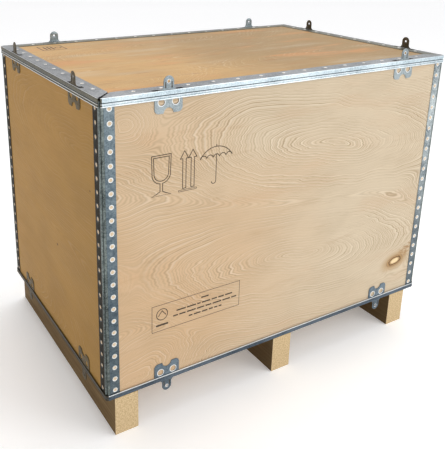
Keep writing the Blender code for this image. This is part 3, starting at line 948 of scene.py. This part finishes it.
def ease(width, *nodes):
    """A small bevel on the sharp edges of a panel or runner."""
    for node in nodes:
        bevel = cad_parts[node].modifiers.new("eased", "BEVEL")
        bevel.width = width
        bevel.segments = 2
        bevel.limit_method = "ANGLE"
        bevel.angle_limit = math.radians(50)


def veneer(name, node, axes, outwards, tones, lines, eyes, **details):
    """Dresses a panel in plywood that looks outwards, 1 or -1, along the last of its axes."""
    low, high = (corner[axes[2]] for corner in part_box(node))
    faces = (high, low) if outwards > 0 else (low, high)
    dress(plywood(name, axes, faces, tones, lines, eyes, **details), node)


PALE = ((0.622, 0.428, 0.252), (0.64, 0.53, 0.38), (0.32, 0.22, 0.115))
TAN = ((0.405, 0.228, 0.052), (0.5, 0.28, 0.07), (0.24, 0.135, 0.033))
WARM = ((0.535, 0.33, 0.135), (0.335, 0.22, 0.098), (0.26, 0.145, 0.05))
SAWN = ((0.73, 0.57, 0.34), (0.46, 0.315, 0.155), (0.62, 0.53, 0.34))

# Eyes of each panel's figure: place, then core, stretch, tilt and margin
FRONT_EYES = (
    ((0.157, 0.733), 0.05, 3.3, -0.15, 0.0), ((0.04, 0.388), 0.1, 3.3, -0.14, 0.0),
    ((-0.535, 0.873), 0.01, 1.1, 0.0, 0.1), ((-0.61, 0.445), 0.01, 1.1, 0.1, 0.07),
    ((-0.506, 0.16), 0.03, 1.5, 0.3, 0.09), ((0.64, 0.545), 0.06, 1.6, 0.0, 0.09),
)
BACK_EYES = (
    ((0.22, 0.64), 0.1, 3.0, 0.1, 0.0), ((-0.26, 0.33), 0.13, 3.0, -0.1, 0.0),
    ((0.6, 0.2), 0.03, 1.5, 0.0, 0.08),
)
LEFT_EYES = (((0.3, 0.2), 0.2, 3.0, 0.05, 0.0), ((-0.3, 0.8), 0.25, 3.0, 0.0, 0.0))
RIGHT_EYES = (((0.12, 0.7), 0.08, 3.0, 0.1, 0.0), ((-0.2, 0.26), 0.12, 3.2, 0.0, 0.0))
FLAT_EYES = (
    ((-0.1, 0.22), 0.16, 2.6, 0.25, 0.0), ((0.38, -0.14), 0.18, 2.6, 0.2, 0.0),
    ((-0.5, -0.3), 0.1, 2.0, 0.3, 0.02),
)
FRONT_KNOT = (0.487, 0.25)
LEFT_PINS = (((0.339 - HALF_Y, 0.434), 0.005), ((0.075 - HALF_Y, 0.7), 0.003))


def dress_frame():
    """New materials on the panels, runners and nails, whose meshes stay the frame's own."""
    upright_x, upright_y, flat = (0, 2, 1), (1, 2, 0), (0, 1, 2)
    border = (HALF_X - FLANGE_WIDTH + 0.001, HALF_Y - FLANGE_WIDTH + 0.001)
    veneer("front_veneer", "wall_front", upright_x, -1, PALE, 0.5, FRONT_EYES, knot=FRONT_KNOT)
    veneer("back_veneer", "wall_back", upright_x, 1, PALE, 0.38, BACK_EYES, turn=3.1)
    veneer(
        "left_veneer", "wall_left", upright_y, -1, TAN, 0.15, LEFT_EYES,
        pins=LEFT_PINS, turn=5.7, gloss=0.15, stain=0.04,
    )
    veneer("right_veneer", "wall_right", upright_y, 1, PALE, 0.38, RIGHT_EYES, turn=8.3)
    veneer(
        "lid_veneer", "lid_panel", flat, 1, WARM, 0.3, FLAT_EYES,
        turn=1.3, dirt=border, gloss=0.15, stain=0.6,
    )
    veneer("base_veneer", "base_panel", flat, 1, WARM, 0.4, FLAT_EYES, turn=2.2)
    runners = ("runner_left", "runner_middle", "runner_right")
    # The inner runners, under the crate, get more painted shade on their -X sides.
    dress(sawn("sawn_runner", *SAWN, 0.56), runners[0])
    dress(sawn("sawn_inner_runner", *SAWN, 0.78), *runners[1:])
    ease(0.0012, *runners)
    nails = [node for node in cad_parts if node.startswith("runner_nail")]
    dress(steel("nail_wire", (0.3, 0.3, 0.31), (0.62, 0.62, 0.63), 0.3), *nails)


# ---- stage


def make_stage():
    """A pale floor that glows a little, so that only the contact shadow shows."""
    looks = Looks("pale_floor")
    fine = looks.noise(looks.place, 14.0, 3.0)
    colour = looks.mix(looks.spread(fine, 0.2, 0.8), (0.95, 0.95, 0.945), (0.93, 0.93, 0.925))
    roughness = looks.times_plus(fine, 0.1, 0.75)
    glow = {"Emission Color": (1.0, 1.0, 1.0, 1.0), "Emission Strength": 0.22}
    material = looks.finish(colour, roughness, looks.bump(fine, 0.0005, 0.1), **glow)
    mesh = bpy.data.meshes.new("floor")
    reach, level = 40.0, -0.0005
    corners = [(*corner, level) for corner in box_outline((-reach, -reach), (reach, reach))]
    mesh.from_pydata(corners, [], [(0, 1, 2, 3)])
    mesh.materials.append(material)
    new_object("floor", mesh)


def area_light(name, place, aim, size, power, colour):
    data = bpy.data.lights.new(name, "AREA")
    data.shape = "RECTANGLE"
    data.size, data.size_y = size
    data.energy = power
    data.color = colour
    lamp = new_object(name, data)
    lamp.location = place
    lamp.rotation_euler = (Vector(aim) - Vector(place)).to_track_quat("-Z", "Y").to_euler()


# What the camera sees of the sky, and the stops of its light from the horizon up and from -X to +X
BACKDROP = (0.985, 0.985, 0.985, 1.0)
SKY_STRENGTH = 1.15
SKY = (
    ("Z", ((0.1, (1.0, 1.0, 1.0)), (0.8, (0.8, 0.82, 0.86)))),
    ("X", ((0.12, (0.27, 0.22, 0.17)), (0.52, (1.0, 1.0, 1.0)))),
)

# Each lamp's name, place, aim, size, power and colour
LAMPS = (
    ("key", (2.6, -3.6, 3.4), (0.1, -0.2, 0.5), (2.4, 2.4), 55.0, (1.0, 0.98, 0.95)),
    ("fill", (-3.6, -1.6, 2.2), (-0.4, 0.0, 0.5), (2.5, 2.0), 0.5, (1.0, 0.95, 0.88)),
    ("top", (0.3, 0.6, 4.2), (0.0, 0.0, 0.9), (3.0, 3.0), 60.0, (1.0, 1.0, 1.0)),
)


def make_light():
    """The sky, dim and brown towards -X, a plain backdrop for the camera, and the lamps."""
    sky = Looks("studio", "worlds")
    bpy.context.scene.world = sky.owner
    parts = sky.add("SeparateXYZ", sky.places["Generated"]).outputs
    shades = []
    for axis, stops in SKY:
        level = sky.add("MapRange", parts[axis], -1.0).outputs[0] if axis == "X" else parts[axis]
        ramp = sky.add("ValToRGB", level)
        for element, (position, colour) in zip(ramp.color_ramp.elements, stops):
            element.position, element.color = position, (*colour, 1.0)
        shades.append(ramp.outputs[0])
    light = sky.tree.nodes["Background"]
    light.inputs["Strength"].default_value = SKY_STRENGTH
    sky.feed(light.inputs["Color"], sky.mix(1.0, *shades, "MULTIPLY"))
    seen = sky.add("Background", BACKDROP)
    camera_ray = sky.add("LightPath").outputs["Is Camera Ray"]
    either = sky.add("MixShader", camera_ray, light.outputs[0], seen.outputs[0])
    sky.feed(sky.tree.nodes["World Output"].inputs["Surface"], either.outputs[0])
    for lamp in LAMPS:
        area_light(*lamp)


CAMERA_PLACE = (-1.1616, -1.7035, 1.3179)
CAMERA_AIM = (0.4861, 0.82, -0.3021)
CAMERA_ROLL = 0.0119
CAMERA_LENS = 51.12
CAMERA_SHIFT = (0.1, -0.2)


def make_camera():
    """The photo's camera, except that the crop's shift is kept small."""
    data = bpy.data.cameras.new("view")
    data.lens = CAMERA_LENS
    data.shift_x, data.shift_y = CAMERA_SHIFT
    data.clip_start = 0.01
    camera = new_object("view", data)
    camera.location = CAMERA_PLACE
    level = Vector(CAMERA_AIM).to_track_quat("-Z", "Y")
    camera.rotation_euler = (level @ Quaternion((0, 0, 1), CAMERA_ROLL)).to_euler()
    bpy.context.scene.camera = camera


def main():
    # Bright lips and bends: on the rims' bends a painted highlight, on the holes' lips partly a bright burr
    # and partly a painted highlight.
    burr = steel("bright_burr_highlight", (0.62, 0.66, 0.68), (0.88, 0.9, 0.9), 0.28)
    torn = torn_wood()
    fold = steel("shaded_fold", (0.03, 0.04, 0.048), (0.13, 0.165, 0.19), 0.42)
    # Painted shade, milder than the shaded fold, for the lid rim's lower groove.
    soft_groove_shade = steel("soft_groove_shade", (0.2, 0.26, 0.3), (0.5, 0.59, 0.63), 0.36)
    # The rim and the lid's flange strip are one steel; the rim's brighter, bluer copy is a painted
    # reflection.
    rim = steel("lid_rim", (0.36, 0.46, 0.52), (0.76, 0.87, 0.92), 0.28)
    # A darker copy of the strip steel: painted shade on the left side's rim and the left tongues' lips; it
    # also darkens the lid's right and back flange strips.
    dark_strip = steel("darker_strip", (0.05, 0.048, 0.034), (0.21, 0.2, 0.15), 0.4)
    # A darker copy for the base: painted shade on the left side's band and rim; it also darkens the base's
    # right and back flange strips.
    dark_base_rim = steel("base_rim_darker", (0.03, 0.026, 0.018), (0.12, 0.1, 0.066), 0.46, 0.3, 0.25)
    lid_strip = steel("lid_strip", (0.1, 0.105, 0.11), (0.34, 0.345, 0.35), 0.38)
    base_strip = steel("base_strip", (0.03, 0.045, 0.065), (0.13, 0.17, 0.215), 0.34)
    blue = steel("corner_strip", (0.055, 0.085, 0.11), (0.23, 0.29, 0.32), 0.3, low_shade=0.45)
    # A lighter copy of the corner strip for the right corners' front and back flanges: a painted reflection,
    # with painted shade low down.
    pale = steel("corner_strip_lit", (0.075, 0.105, 0.13), (0.56, 0.62, 0.63), 0.3, low_shade=0.75)
    # Painted shade: a near-black copy of the corner strip for the flanges that face -X.
    shaded_corner_strip = steel("corner_strip_shaded", (0.01, 0.008, 0.005), (0.045, 0.038, 0.026), 0.5, 0.2, 0.08)
    beads = steel("corner_bead", (0.026, 0.036, 0.035), (0.25, 0.295, 0.285), 0.26)
    upper = steel("upper_sheet", (0.16, 0.2, 0.225), (0.42, 0.48, 0.5), 0.32)
    lower = steel("lower_sheet", (0.045, 0.07, 0.095), (0.18, 0.235, 0.28), 0.32)
    # Painted shade: a dark copy of the tongue steel for the left side's tongues.
    dim = steel("shaded_left_sheet", (0.04, 0.031, 0.016), (0.18, 0.138, 0.075), 0.44, 0.4, 0.3)
    # Painted shade for the walls of the tongues' holes and the bottom of their grooves.
    shaded = steel("tongue_back_shade", (0.065, 0.052, 0.034), (0.22, 0.18, 0.125), 0.42, 0.5, 0.3)

    edge_frame(
        "lid", LID_SECTION, lambda h: LID_Z - h, 1.0, True, BURR,
        (lid_strip, burr, torn, fold, rim, dark_strip, soft_groove_shade),
    )
    edge_frame(
        "base", BASE_SECTION, lambda h: BASE_Z + h, -1.0, False, BASE_BURR,
        (base_strip, burr, torn, fold, base_strip, dark_base_rim),
    )
    # On the flanges that face -X the bright lips take the shaded fold too: painted shade.
    left = {"x": (shaded_corner_strip, fold, torn), "y": (blue, burr, torn)}
    right = {"x": (blue, burr, torn), "y": (pale, burr, torn)}
    make_corner("front_left", -1, -1, left, beads)
    make_corner("front_right", 1, -1, right, beads)
    make_corner("back_right", 1, 1, right, beads)
    make_corner("back_left", -1, 1, left, beads)
    # The left tongues take darker copies, painted shade, for their sheet and their bright lips.
    make_tongues({
        "upper": (upper, burr, shaded), "lower": (lower, burr, shaded), "back": (upper, burr, upper),
        "left": (dim, dark_strip, shaded),
    })
    print_ink = ink()
    make_front_marks(print_ink)
    make_lid_mark(print_ink)
    dress_frame()
    make_stage()
    make_light()
    make_camera()


main()
bpy.context.scene.view_settings.view_transform = "Standard"
